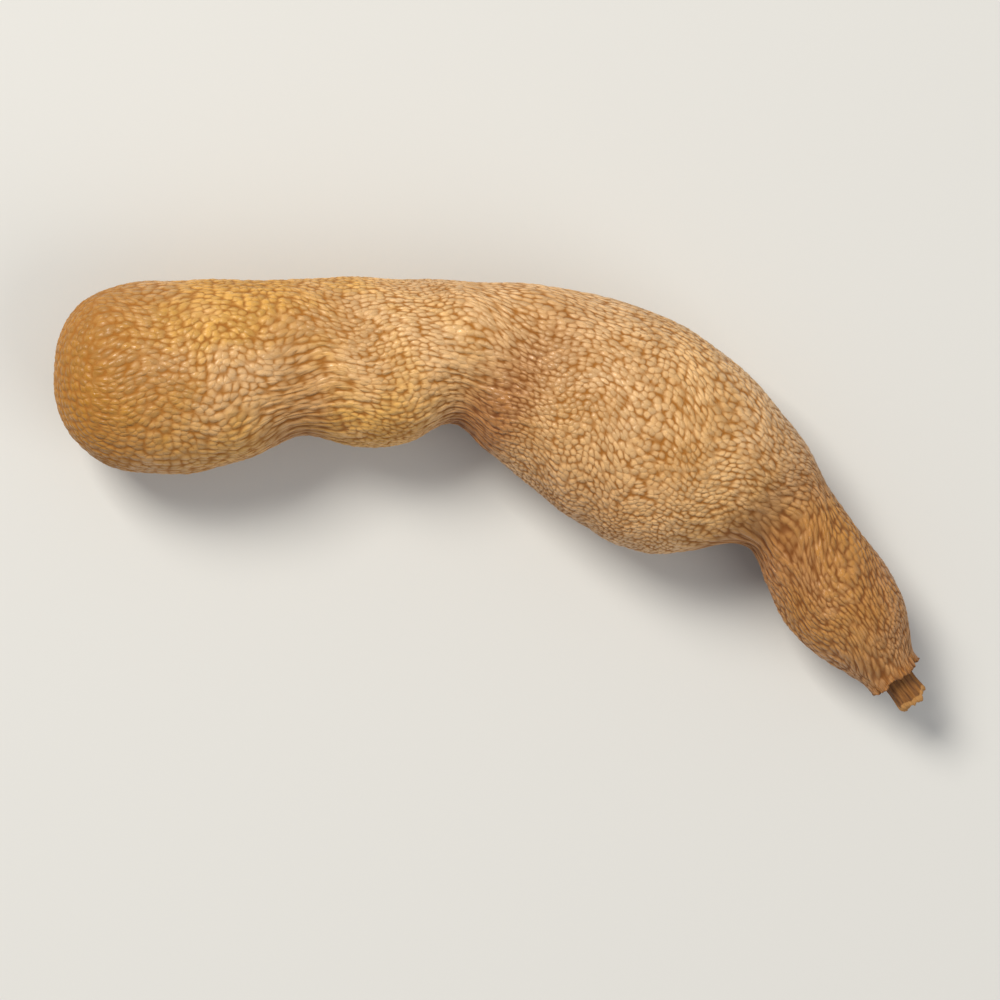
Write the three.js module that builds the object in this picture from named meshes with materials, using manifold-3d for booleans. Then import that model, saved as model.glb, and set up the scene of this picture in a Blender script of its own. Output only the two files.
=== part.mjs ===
// A ripe tamarind pod, picked, lying on its side. Millimetres, +Z up.
// +X runs from the blunt tip towards the stalk, and +Y is the pod's smooth outer back.
import * as THREE from 'three';
import { mergeVertices } from 'three/addons/utils/BufferGeometryUtils.js';
import Module from 'manifold-3d';

const wasm = await Module();
wasm.setup();

// The pod's form, read at stations along its bent centre line.
// at: distance from the tip. heading: the centre line's direction in plan, in degrees from +X.
// outer, inner: reach to the smooth back and to the lobed belly. thick: half the thickness.
// rise: height of the centre line over the surface that the pod lies on.
const STATIONS = [
  { at: 0.0, heading: -3, outer: 8.0, inner: 8.6, thick: 7.5, rise: 7.9 },
  { at: 6.0, heading: 0, outer: 8.3, inner: 9.5, thick: 7.9, rise: 7.7 },
  { at: 12.0, heading: 3, outer: 8.4, inner: 10.0, thick: 8.1, rise: 7.7 }, // first lobe
  { at: 18.0, heading: 4, outer: 8.1, inner: 9.0, thick: 7.6, rise: 7.7 },
  { at: 23.5, heading: 3.5, outer: 7.8, inner: 7.1, thick: 7.3, rise: 7.7 }, // first waist
  { at: 29.5, heading: 1.5, outer: 7.7, inner: 8.7, thick: 7.6, rise: 7.3 }, // second lobe
  { at: 34.5, heading: -0.5, outer: 7.5, inner: 8.0, thick: 7.3, rise: 7.5 },
  { at: 39.0, heading: -3.5, outer: 7.5, inner: 6.2, thick: 7.0, rise: 7.8 }, // second waist
  { at: 43.0, heading: -8, outer: 7.7, inner: 8.6, thick: 7.5, rise: 8.1 },
  { at: 50.0, heading: -17, outer: 8.5, inner: 11.3, thick: 8.6, rise: 8.4 },
  { at: 58.0, heading: -26, outer: 8.7, inner: 12.9, thick: 9.1, rise: 8.6 }, // third lobe
  { at: 66.0, heading: -36, outer: 7.6, inner: 12.2, thick: 8.5, rise: 8.5 },
  { at: 71.0, heading: -44, outer: 6.5, inner: 9.2, thick: 7.0, rise: 8.2 },
  { at: 75.5, heading: -51, outer: 5.5, inner: 4.6, thick: 5.1, rise: 7.8 }, // third waist
  { at: 80.0, heading: -54, outer: 5.3, inner: 5.0, thick: 5.1, rise: 7.4 },
  { at: 85.0, heading: -55, outer: 5.6, inner: 5.7, thick: 5.5, rise: 7.1 }, // last lobe
  { at: 89.5, heading: -54, outer: 5.1, inner: 4.7, thick: 4.9, rise: 7.0 },
  { at: 92.5, heading: -53, outer: 3.8, inner: 3.6, thick: 3.7, rise: 7.0 },
  { at: 94.2, heading: -52, outer: 3.0, inner: 3.0, thick: 3.0, rise: 7.0 },
  { at: 95.5, heading: -52, outer: 2.9, inner: 2.9, thick: 2.9, rise: 7.0 }, // collar
];
const POD_LENGTH = STATIONS.at(-1).at;
const TIP_ROUND = 9; // length over which the blunt tip closes
const COLLAR_ROUND = 0.7; // length over which the collar's edge closes
const END_BLUNTNESS = 2.5; // exponent of the closing curve: 2 is an ellipse
const SECTION_FULLNESS = 2.15; // exponent of the cross section: 2 is an ellipse

// Valleys that run from each waist's notch over the two faces of the pod. Each has its depth as a
// share of the thickness, and slants towards the stalk by so much from its notch to the middle.
const VALLEYS = [
  { at: 23.5, width: 3.6, depth: 0.16, slant: 1 },
  { at: 38.9, width: 3.2, depth: 0.27, slant: 4 },
  { at: 74.6, width: 3.8, depth: 0.2, slant: 0 },
];

// The skin's net of cracks, several times larger than life.
const CELL = 3.4;
const CELL_STRETCH = 1.5; // cells are longer along the pod than across it
const CELL_GIRTH_RADIUS = 9; // radius of the unshrunken skin that the cells grew on
const CRACK_DEPTH = 0.24;
const CRACK_WIDTH = 0.34; // as a share of a cell

// Its softer lumps, in rows that slant round the pod, and the seams along its back and belly.
const LUMP_HEIGHT = 0.09;
const LUMP_LENGTH = 11.4; // from one lump to the next, along the pod
const LUMP_SLANT = 2.1; // radians
const LUMP_TURN = 48; // length in which the rows go once round the pod
const SMALL_LUMP_LENGTH = 7;
const SMALL_LUMP_SHARE = 0.6;
const SEAM_HEIGHT = 0.15;
const SEAM_WIDTH = 0.14; // radians

// Where the relief fades out: over the foot, by height, and towards the two ends, by length.
const FADE_AT_FOOT = [0.3, 2.2];
const FADE_AT_TIP = [0, 2];
const FADE_AT_COLLAR = [0, 6];

// The stalk: a broken woody stub that stands in a torn socket, clear of its walls and its floor.
// The socket's outline is [wider than its radius by, height over the collar's mouth].
const SOCKET_RADIUS = 2.05;
const SOCKET_DEPTH = 2.4;
const SOCKET_MOUTH = [[0, -0.7], [0.3, 0.3], [0.5, 2]];
const STUB_GAP = 0.35;
const STUB_RADIUS = 1.65;
// The stub's outline is [share of its radius, height over its foot].
const STUB_OUTLINE = [[1, 0], [0.98, 1.2], [0.95, 2.2], [0.93, 3.1], [0.96, 3.9], [1, 4.6], [0.85, 4.9]];
const STUB_LENGTH = 4.9;
const RIBS_START = 0.6; // height over the stub's foot
const BREAK_START = 4.4;
const PITH_RADIUS = 0.6;
const PITH_LIP = 0.25; // depth of the hollow's edge under the break
const PITH_DEPTH = 1.5;

// Waves that go round the stalk, as [how many, how high, where the first one is in radians].
const MOUTH_TEARS = [[3, 0.13, -1], [7, 0.09, 0]];
const STUB_RIBS = [[10, 0.035, 0], [3, 0.03, -2.5]];
const BREAK_SPLINTERS = [[1, 0.3, 2.2], [4, 0.12, 0], [7, 0.07, 1]];

// How finely each surface is faceted.
const AROUND = 44;
const ALONG = 118;
const CLOSER_AT_ENDS = 0.4; // 0 spaces the rings evenly along the pod
const AROUND_SOCKET = 20;
const AROUND_STUB = 30;
const BACKBONE_STEP = 0.25;
const FLAT = 1e-4; // lengths under this count as nothing

const COLUMNS = ['heading', 'outer', 'inner', 'thick', 'rise'];
const stationCurve = new THREE.CubicInterpolant(
  STATIONS.map((station) => station.at),
  STATIONS.flatMap((station) => COLUMNS.map((column) => station[column])),
  COLUMNS.length,
);

function stationAt(along) {
  const values = stationCurve.evaluate(along);
  return Object.fromEntries(COLUMNS.map((column, index) => [column, values[index]]));
}

// The centre line in plan: its heading summed step by step.
const backbone = [new THREE.Vector2(0, 0)];
for (let along = 0; along < POD_LENGTH + BACKBONE_STEP; along += BACKBONE_STEP) {
  const turn = THREE.MathUtils.degToRad(stationAt(along + BACKBONE_STEP / 2).heading);
  const step = new THREE.Vector2(Math.cos(turn), Math.sin(turn)).multiplyScalar(BACKBONE_STEP);
  backbone.push(backbone.at(-1).clone().add(step));
}

function backboneAt(along) {
  const place = along / BACKBONE_STEP;
  const index = Math.min(Math.floor(place), backbone.length - 2);
  return backbone[index].clone().lerp(backbone[index + 1], place - index);
}

// How far the section is open, from 0 at either end to 1: a blunt tip and a small-edged collar.
function openness(along) {
  const tip = Math.min(along / TIP_ROUND, 1);
  const collar = Math.min((POD_LENGTH - along) / COLLAR_ROUND, 1);
  const round = (share) => (1 - (1 - share) ** END_BLUNTNESS) ** (1 / END_BLUNTNESS);
  return round(tip) * round(collar);
}

// A repeatable number from 0 to 1 for a whole-number place in space.
function randomAt(x, y, z, salt) {
  let hash = Math.imul(x, 374761393) ^ Math.imul(y, 668265263) ^ Math.imul(z, 1440662683);
  hash = Math.imul(hash ^ Math.imul(salt, 974634777) ^ (hash >>> 13), 1274126177);
  return ((hash ^ (hash >>> 16)) >>> 0) / 2 ** 32;
}

// How near a place is to the border between two cells: 0 on the border, about 1 in the middle.
function borderDistance(x, y, z) {
  const home = [x, y, z].map(Math.floor);
  let nearest = Infinity;
  let second = Infinity;
  for (let i = -1; i <= 1; i += 1) {
    for (let j = -1; j <= 1; j += 1) {
      for (let k = -1; k <= 1; k += 1) {
        const corner = [home[0] + i, home[1] + j, home[2] + k];
        const seed = corner.map((c, axis) => c + randomAt(...corner, axis));
        const distance = Math.hypot(x - seed[0], y - seed[1], z - seed[2]);
        second = Math.min(second, Math.max(nearest, distance));
        nearest = Math.min(nearest, distance);
      }
    }
  }
  return second - nearest;
}

// Height of the skin's relief: sunk cracks round raised cells, soft lumps and two faint seams.
function relief(along, angle, open) {
  const girth = CELL_GIRTH_RADIUS * open;
  const x = along / (CELL * CELL_STRETCH);
  const y = (girth * Math.cos(angle)) / CELL;
  const z = (girth * Math.sin(angle)) / CELL;
  const inCell = THREE.MathUtils.smoothstep(borderDistance(x, y, z), 0, CRACK_WIDTH);
  const turns = 2 * Math.PI * along;
  const slanted = Math.sin(turns / LUMP_LENGTH + LUMP_SLANT * Math.cos(angle));
  const small = Math.sin(turns / SMALL_LUMP_LENGTH - 3 * angle);
  const lumps = slanted * Math.cos(turns / LUMP_TURN + 2 * angle) + SMALL_LUMP_SHARE * small;
  const seam = Math.exp(-((Math.sin(angle) / SEAM_WIDTH) ** 2));
  return CRACK_DEPTH * (inCell - 1) + (LUMP_HEIGHT * lumps + SEAM_HEIGHT * seam) * open;
}

// Drop in thickness where a valley crosses a face: none at the two edges, most nearer the belly.
function valleyShrink(along, across) {
  const reach = (1 - across * across) * (1 - across) * 0.5;
  return VALLEYS.reduce((shrink, valley) => {
    const off = (along - valley.at - valley.slant * (1 + across)) / valley.width;
    return shrink - valley.depth * reach * Math.exp(-off * off);
  }, 1);
}

const signedPower = (value, power) => Math.sign(value) * Math.abs(value) ** power;

// A point of the skin. angle 0 is the back, a quarter turn is the upper face, a half turn is the belly.
function skinPoint(along, angle) {
  const station = stationAt(along);
  const open = openness(along);
  const halfWidth = ((station.outer + station.inner) / 2) * open;
  const shift = ((station.outer - station.inner) / 2) * open;
  const across = signedPower(Math.cos(angle), 2 / SECTION_FULLNESS);
  const up = signedPower(Math.sin(angle), 2 / SECTION_FULLNESS) * valleyShrink(along, across);
  const thick = station.thick * open;
  const smoothHeight = station.rise + thick * up;

  const raised = relief(along, angle, open)
    * THREE.MathUtils.smoothstep(smoothHeight, ...FADE_AT_FOOT)
    * THREE.MathUtils.smoothstep(along, ...FADE_AT_TIP)
    * THREE.MathUtils.smoothstep(POD_LENGTH - along, ...FADE_AT_COLLAR);
  const sideways = new THREE.Vector2(Math.cos(angle) * thick, Math.sin(angle) * halfWidth);
  if (sideways.lengthSq() > 0) sideways.setLength(raised);

  const turn = THREE.MathUtils.degToRad(station.heading);
  const reach = shift + halfWidth * across + sideways.x;
  const centre = backboneAt(along);
  return new THREE.Vector3(
    centre.x - Math.sin(turn) * reach,
    centre.y + Math.cos(turn) * reach,
    Math.max(0, smoothHeight + sideways.y),
  );
}

// A sphere's rows of latitude become rings along the pod, closer together at the two ends.
function skinGeometry() {
  const geometry = new THREE.SphereGeometry(1, AROUND, ALONG);
  const { position, uv } = geometry.attributes;
  for (let i = 0; i < position.count; i += 1) {
    const share = 1 - uv.getY(i);
    const eased = THREE.MathUtils.lerp(share, (1 - Math.cos(Math.PI * share)) / 2, CLOSER_AT_ENDS);
    const isPole = share === 0 || share === 1;
    const angle = isPole ? 0 : -uv.getX(i) * 2 * Math.PI;
    position.setXYZ(i, ...skinPoint(eased * POD_LENGTH, angle).toArray());
  }
  return mergedByPosition(geometry);
}

function mergedByPosition(geometry) {
  geometry.deleteAttribute('normal');
  geometry.deleteAttribute('uv');
  return mergeVertices(geometry, FLAT);
}

function toManifold(geometry) {
  return new wasm.Manifold(new wasm.Mesh({
    numProp: 3,
    vertProperties: new Float32Array(geometry.attributes.position.array),
    triVerts: new Uint32Array(geometry.index.array),
  }));
}

function toGeometry(solid) {
  const mesh = solid.getMesh();
  const geometry = new THREE.BufferGeometry();
  geometry.setAttribute('position', new THREE.BufferAttribute(new Float32Array(mesh.vertProperties), 3));
  geometry.setIndex(new THREE.BufferAttribute(new Uint32Array(mesh.triVerts), 1));
  geometry.computeVertexNormals();
  return geometry;
}

// The stalk's own frame: its origin at the collar's mouth and +Y pointing out along the stalk.
const stalkTurn = THREE.MathUtils.degToRad(stationAt(POD_LENGTH).heading);
const stalkDirection = new THREE.Vector3(Math.cos(stalkTurn), Math.sin(stalkTurn), 0);
const stalkMouth = new THREE.Vector3(...backboneAt(POD_LENGTH).toArray(), stationAt(POD_LENGTH).rise);
const stalkFacing = new THREE.Quaternion().setFromUnitVectors(new THREE.Vector3(0, 1, 0), stalkDirection);

function wavesAt(waves, angle) {
  return waves.reduce((sum, [count, high, first]) => sum + high * Math.cos(count * angle - first), 0);
}

// Turns a profile of [radius, height] pairs round the stalk's axis and makes each ring uneven:
// swell widens it where it stands, and lift raises it.
function unevenLathe(profile, segments, unevenness) {
  const geometry = new THREE.LatheGeometry(profile.map(([r, h]) => new THREE.Vector2(r, h)), segments);
  const { position } = geometry.attributes;
  for (let i = 0; i < position.count; i += 1) {
    const angle = Math.atan2(position.getX(i), position.getZ(i));
    const radius = Math.hypot(position.getX(i), position.getZ(i));
    const { swell, lift } = unevenness(angle, radius, position.getY(i));
    position.setXYZ(i, position.getX(i) * swell, position.getY(i) + lift, position.getZ(i) * swell);
  }
  return mergedByPosition(geometry);
}

// What is cut out of the collar: a plain socket whose mouth is torn open unevenly.
function socketCutter() {
  const [, tearStart] = SOCKET_MOUTH[0];
  const [, top] = SOCKET_MOUTH.at(-1);
  const mouth = SOCKET_MOUTH.map(([wider, height]) => [SOCKET_RADIUS + wider, height]);
  const profile = [[0, -SOCKET_DEPTH], [SOCKET_RADIUS, -SOCKET_DEPTH], ...mouth, [0, top]];
  return unevenLathe(profile, AROUND_SOCKET, (angle, radius, height) => ({
    swell: height > tearStart + FLAT ? 1 + wavesAt(MOUTH_TEARS, angle) : 1,
    lift: 0,
  }));
}

// The stub: ribbed by its fibres, waisted, and broken off raggedly round a hollow pith.
function stubGeometry() {
  const foot = STUB_GAP - SOCKET_DEPTH;
  const top = foot + STUB_LENGTH;
  const outside = STUB_OUTLINE.map(([share, height]) => [STUB_RADIUS * share, foot + height]);
  const pith = [[PITH_RADIUS, top - PITH_LIP], [PITH_RADIUS, top - PITH_DEPTH], [0, top - PITH_DEPTH]];
  const profile = [[0, foot], ...outside, ...pith];
  return unevenLathe(profile, AROUND_STUB, (angle, radius, height) => {
    const isRibbed = radius > PITH_RADIUS + FLAT && height > foot + RIBS_START;
    const isBroken = height > foot + BREAK_START;
    return {
      swell: isRibbed ? 1 + wavesAt(STUB_RIBS, angle) : 1,
      lift: isBroken ? wavesAt(BREAK_SPLINTERS, angle) : 0,
    };
  });
}

function podMesh() {
  const cutter = socketCutter();
  cutter.applyQuaternion(stalkFacing);
  cutter.translate(...stalkMouth.toArray());
  const solid = toManifold(skinGeometry()).subtract(toManifold(cutter));
  const skin = new THREE.MeshStandardMaterial({ color: 0xc39a60, roughness: 0.62, metalness: 0 });
  const mesh = new THREE.Mesh(toGeometry(solid), skin);
  mesh.name = 'pod';
  return mesh;
}

function stubMesh() {
  const geometry = stubGeometry();
  geometry.computeVertexNormals();
  const wood = new THREE.MeshStandardMaterial({ color: 0x9a6428, roughness: 0.8, metalness: 0 });
  const mesh = new THREE.Mesh(geometry, wood);
  mesh.name = 'stalk_stub';
  mesh.quaternion.copy(stalkFacing);
  mesh.position.copy(stalkMouth);
  return mesh;
}

const tamarindPod = new THREE.Group();
tamarindPod.add(podMesh(), stubMesh());

// The origin is on the surface that the pod lies on, under the middle of its outline.
const middle = new THREE.Box3().setFromObject(tamarindPod).getCenter(new THREE.Vector3());
tamarindPod.position.set(-middle.x, -middle.y, 0);

export default tamarindPod;
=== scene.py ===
# %% [markdown]
# # A ripe tamarind pod
#
# The real thing is one closed woody shell, as long as a finger. It bends like a hockey stick, it
# is pinched between its seeds, and its skin is a fine net of raised beads with brown cracks
# between them. At the narrow end a short stub of the broken stalk is left in a torn collar.
#
# This lesson makes two pieces, the pod and the stub. Both are surfaces worked out with numpy, in
# millimetres, and their materials are made of nodes.

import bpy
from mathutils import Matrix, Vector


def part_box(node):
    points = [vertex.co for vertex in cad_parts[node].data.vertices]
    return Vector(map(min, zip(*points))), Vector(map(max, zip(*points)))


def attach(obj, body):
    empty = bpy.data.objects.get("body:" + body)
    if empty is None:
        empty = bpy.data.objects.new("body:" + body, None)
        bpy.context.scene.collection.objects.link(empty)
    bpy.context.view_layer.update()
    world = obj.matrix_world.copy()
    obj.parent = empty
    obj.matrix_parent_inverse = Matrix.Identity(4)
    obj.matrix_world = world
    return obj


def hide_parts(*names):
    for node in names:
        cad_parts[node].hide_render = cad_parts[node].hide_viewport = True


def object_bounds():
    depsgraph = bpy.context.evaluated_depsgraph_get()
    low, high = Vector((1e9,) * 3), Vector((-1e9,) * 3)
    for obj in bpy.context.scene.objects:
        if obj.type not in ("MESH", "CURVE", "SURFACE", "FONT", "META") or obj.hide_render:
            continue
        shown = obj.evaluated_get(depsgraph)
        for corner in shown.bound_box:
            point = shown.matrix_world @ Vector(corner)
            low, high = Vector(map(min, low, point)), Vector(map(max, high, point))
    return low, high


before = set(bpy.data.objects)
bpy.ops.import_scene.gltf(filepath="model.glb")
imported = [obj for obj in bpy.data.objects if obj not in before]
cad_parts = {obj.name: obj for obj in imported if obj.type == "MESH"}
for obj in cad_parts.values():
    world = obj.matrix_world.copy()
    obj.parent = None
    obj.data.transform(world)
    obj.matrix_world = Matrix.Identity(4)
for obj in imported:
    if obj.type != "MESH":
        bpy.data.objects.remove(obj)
cad_low, cad_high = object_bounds()
print("the packed model's size in mm:", [round(side * 1000, 1) for side in cad_high - cad_low])

# %% Libraries and units
import math

import bpy
import numpy as np
from mathutils import Matrix, Vector

MM = 0.001
FULL_TURN = 2 * math.pi
dice = np.random.default_rng(11)

# %% [markdown]
# ## The pod's form
#
# A pod could be sculpted, or blended from metaballs, but neither gives back its sizes. Here the
# form is a table: at stations along the bent centre line it holds the line's heading and the
# section's reach on each side. A smooth curve goes through each column. The same table drives
# the solid that this skin covers, so the two agree.

# %% The stations
# Each row: distance from the tip, heading in degrees from +X, reach to the back, reach to the
# belly, half the thickness, and height of the centre line over the ground.
STATIONS = np.array([
    (0.0, -3, 8.0, 8.6, 7.5, 7.9),
    (6.0, 0, 8.3, 9.5, 7.9, 7.7),
    (12.0, 3, 8.4, 10.0, 8.1, 7.7),  # first lobe
    (18.0, 4, 8.1, 9.0, 7.6, 7.7),
    (23.5, 3.5, 7.8, 7.1, 7.3, 7.7),  # first waist
    (29.5, 1.5, 7.7, 8.7, 7.6, 7.3),  # second lobe
    (34.5, -0.5, 7.5, 8.0, 7.3, 7.5),
    (39.0, -3.5, 7.5, 6.2, 7.0, 7.8),  # second waist
    (43.0, -8, 7.7, 8.6, 7.5, 8.1),
    (50.0, -17, 8.5, 11.3, 8.6, 8.4),
    (58.0, -26, 8.7, 12.9, 9.1, 8.6),  # third lobe
    (66.0, -36, 7.6, 12.2, 8.5, 8.5),
    (71.0, -44, 6.5, 9.2, 7.0, 8.2),
    (75.5, -51, 5.5, 4.6, 5.1, 7.8),  # third waist
    (80.0, -54, 5.3, 5.0, 5.1, 7.4),
    (85.0, -55, 5.6, 5.7, 5.5, 7.1),  # last lobe
    (89.5, -54, 5.1, 4.7, 4.9, 7.0),
    (92.5, -53, 3.8, 3.6, 3.7, 7.0),
    (94.2, -52, 3.0, 3.0, 3.0, 7.0),
    (95.5, -52, 2.9, 2.9, 2.9, 7.0),  # collar
])
POD_LENGTH = STATIONS[-1, 0]
WAISTS = (23.5, 39.5, 75.0)


def station_curve(along):
    """Every column at any distance from the tip. Between two stations it is the cubic whose slope
    at a station is the mean of the slopes on either side of it, and at the two ends the slope of
    the end stretch."""
    places, values = STATIONS[:, 0], STATIONS[:, 1:]
    along = np.clip(along, 0, POD_LENGTH)
    slopes = np.diff(values, axis=0) / np.diff(places)[:, None]
    tangents = np.vstack([slopes[:1], (slopes[1:] + slopes[:-1]) / 2, slopes[-1:]])
    left = np.clip(np.searchsorted(places, along, side="right") - 1, 0, len(places) - 2)
    span = (places[left + 1] - places[left])[..., None]
    share = (along - places[left])[..., None] / span
    square, cube = share**2, share**3
    from_left = (2 * cube - 3 * square + 1) * values[left]
    from_left = from_left + (cube - 2 * square + share) * span * tangents[left]
    from_right = (3 * square - 2 * cube) * values[left + 1]
    from_right = from_right + (cube - square) * span * tangents[left + 1]
    return np.moveaxis(from_left + from_right, -1, 0)


print("reach to the belly at the waists:", station_curve(np.array(WAISTS))[2].round(1), "mm")

# %% The centre line
BACKBONE_STEP = 0.25
backbone_at = np.arange(0, POD_LENGTH + 2 * BACKBONE_STEP, BACKBONE_STEP)
headings = np.radians(station_curve(backbone_at[:-1] + BACKBONE_STEP / 2)[0])
backbone_x = np.concatenate([[0], np.cumsum(np.cos(headings) * BACKBONE_STEP)])
backbone_y = np.concatenate([[0], np.cumsum(np.sin(headings) * BACKBONE_STEP)])
print(f"the centre line ends at {backbone_x[-1]:.1f}, {backbone_y[-1]:.1f} mm from the tip")

# %% [markdown]
# ## The skin as one surface
#
# The skin is a function of two parameters: how far a row is from the tip, and the angle round
# the section. A row also has an openness, from 0 at a pole to 1 for the full section. The tip
# opens along a blunt curve. At the collar the rows turn over the torn lip, go back down the wall
# of the socket and close on its floor. So one grid makes the whole shell, with no seam to hide.

# %% The section
SECTION_FULLNESS = 2.15  # exponent of the cross section: 2 is an ellipse
# Each valley: place, width, depth as a share of the thickness, and slant towards the stalk.
VALLEYS = ((23.5, 3.6, 0.16, 1), (38.9, 3.2, 0.27, 4), (74.6, 3.8, 0.2, 0))
LUMP_HEIGHT = 0.09
LUMP_LENGTH = 11.4  # from one lump to the next, along the pod
LUMP_SLANT = 2.1  # in radians
LUMP_TURN = 48  # length over which the lumps come and go
SMALL_LUMP_LENGTH = 7
SMALL_LUMP_SHARE = 0.6
SEAM_HEIGHT = 0.15
SEAM_WIDTH = 0.14  # as a sine of the angle
FADE_AT_FOOT = (0.3, 2.2)  # heights over the ground between which the relief comes up
FADE_AT_TIP = (0, 2)
FADE_AT_COLLAR = (0, 6)


def smoothstep(value, low, high):
    """0 below low, 1 above high, and 3t^2 - 2t^3 between them, with t the share of the way."""
    share = np.clip((value - low) / (high - low), 0, 1)
    return share * share * (3 - 2 * share)


def bell(off):
    """A bell curve: 1 in the middle, and e to the power of minus the square beside it."""
    return np.exp(-(off**2))


def signed_power(value, power):
    """The power of the value's size, with the value's sign."""
    return np.sign(value) * np.abs(value) ** power


def lumps(along, angle):
    """Height of the soft lumps and the two seams. The lumps are two sets of waves that slant
    round the pod. A seam is a narrow bell curve of the sine of the angle, so there is one along
    the back and one along the belly."""
    turns = FULL_TURN * along
    slanted = np.sin(turns / LUMP_LENGTH + LUMP_SLANT * np.cos(angle))
    slanted = slanted * np.cos(turns / LUMP_TURN + 2 * angle)
    small = np.sin(turns / SMALL_LUMP_LENGTH - 3 * angle)
    seam = bell(np.sin(angle) / SEAM_WIDTH)
    return LUMP_HEIGHT * (slanted + SMALL_LUMP_SHARE * small) + SEAM_HEIGHT * seam


def skin_points(along, angle, opened):
    """Points of the skin, in mm. The section is a superellipse: across and up are the cosine and
    sine to the power of 2 / fullness, times the half width and half thickness. Valleys shrink
    the upper and lower faces at the waists. The lumps stand square to the section, and fade
    towards the ground and the two ends. The section stands across the centre line, shifted
    towards its deeper side, and ends flat on the ground."""
    heading, outer, inner, thick, rise = station_curve(along)
    half_width, shift = (outer + inner) / 2 * opened, (outer - inner) / 2 * opened
    across = signed_power(np.cos(angle), 2 / SECTION_FULLNESS)
    up = signed_power(np.sin(angle), 2 / SECTION_FULLNESS)
    share_of_face = (1 - across**2) * (1 - across) / 2
    shrunk = 1.0
    for at, width, depth, slant in VALLEYS:
        valley = bell((along - at - slant * (1 + across)) / width)
        shrunk = shrunk - depth * share_of_face * valley
    height = rise + thick * opened * up * shrunk
    raised = lumps(along, angle) * opened * smoothstep(height, *FADE_AT_FOOT)
    raised = raised * smoothstep(along, *FADE_AT_TIP)
    raised = raised * smoothstep(POD_LENGTH - along, *FADE_AT_COLLAR)
    side_x, side_z = np.cos(angle) * thick, np.sin(angle) * half_width
    side = np.hypot(side_x, side_z) + 1e-9  # never 0, even at a pole
    reach = shift + half_width * across + side_x / side * raised
    turn = np.radians(heading)
    x = np.interp(along, backbone_at, backbone_x) - np.sin(turn) * reach
    y = np.interp(along, backbone_at, backbone_y) + np.cos(turn) * reach
    return np.stack([x, y, np.maximum(0, height + side_z / side * raised)], axis=-1)


belly_point = skin_points(np.array(58.0), np.array(math.pi), np.array(1.0))
print("point of the belly at the third lobe:", belly_point.round(1))

# %% Rows from the tip, over the collar's lip and into the socket
COLUMNS = 240
SKIN_ROWS = 376
LIP_ROWS, WALL_ROWS, FLOOR_ROWS = 8, 14, 8
TIP_ROUND = 9  # length over which the blunt tip closes
END_BLUNTNESS = 2.5  # exponent of the closing curve: 2 is an ellipse
LIP_THICKNESS = 0.16  # as a share of the collar's radius
LIP_BULGE = 0.12  # how far the lip stands out over the collar's edge
COLLAR_RADIUS = 2.9
SOCKET_RADIUS = 2.05
SOCKET_OPEN = SOCKET_RADIUS / COLLAR_RADIUS
SOCKET_DEPTH = 2.4
TRIAL_RINGS, TRIAL_ANGLES = 6000, 8


def openness(along):
    """Share of the full section near the tip: (1 - (1 - t)^n)^(1/n), with t the share of
    TIP_ROUND and n the bluntness."""
    share = np.minimum(along / TIP_ROUND, 1)
    return (1 - (1 - share) ** END_BLUNTNESS) ** (1 / END_BLUNTNESS)


def even_rows(count):
    """Distances from the tip whose rings are evenly spaced over the skin, and the skin's length.
    A fine trial set of rings is measured at a few angles, and the wanted places are read back
    from the mean length gone."""
    trial = POD_LENGTH * np.linspace(0, 1, TRIAL_RINGS) ** 2
    angles = np.linspace(0, FULL_TURN, TRIAL_ANGLES, endpoint=False)
    rings = skin_points(trial[:, None], angles[None, :], openness(trial)[:, None])
    pieces = np.linalg.norm(np.diff(rings, axis=0), axis=-1).mean(1)
    gone = np.concatenate([[0], np.cumsum(pieces)])
    return np.interp(np.linspace(0, gone[-1], count + 1)[1:], gone, trial), gone[-1]


outside, skin_length = even_rows(SKIN_ROWS)
turn_over = np.linspace(0, math.pi, LIP_ROWS + 1)[1:]
lip_open = 1 - LIP_THICKNESS * (1 - np.cos(turn_over)) / 2
lip_along = POD_LENGTH + LIP_BULGE * np.sin(turn_over)
wall_share = np.linspace(0, 1, WALL_ROWS + 1)[1:]
wall_along = POD_LENGTH - SOCKET_DEPTH * wall_share
# The wall comes in to the socket's radius within its first third.
wall_open = lip_open[-1] + (SOCKET_OPEN - lip_open[-1]) * np.minimum(wall_share * 3, 1)
floor_open = SOCKET_OPEN * np.linspace(1, 0, FLOOR_ROWS + 2)[1:-1]
floor_along = np.full(FLOOR_ROWS, wall_along[-1])
row_along = np.concatenate([outside, lip_along, wall_along, floor_along])
row_open = np.concatenate([openness(outside), lip_open, wall_open, floor_open])
ROWS = len(row_along)
print(f"{ROWS} rows, {skin_length / SKIN_ROWS:.3f} mm apart on the skin, {COLUMNS} columns")

# %% [markdown]
# ## The torn collar
#
# Where the stalk pulled away, the shell's edge is ragged and split. A boolean could cut it, but
# the rows would stop at the cut. Here each column of the grid is pulled back by its own amount,
# so the rows follow the tear, and the lip stays closed and rounded.

# %% The tear
TEAR_WAVES = (3, 5, 8, 13, 21, 34, 55)
TEAR_DEPTH = 0.55
TEAR_STARTS, TEAR_ENDS = 5, 0.1  # the rows bend between these distances from the collar's edge
SPLITS = ((0.7, 0.16, 1.5), (2.55, 0.1, 0.9), (4.3, 0.2, 1.8), (5.5, 0.09, 1.0))
FLARE_WAVES = (2, 3, 7, 11, 19, 31)
FLARE = 0.035  # as a share of the lip's radius
WAVE_GAIN = 1.8  # the waves of a set hardly ever peak together


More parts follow.
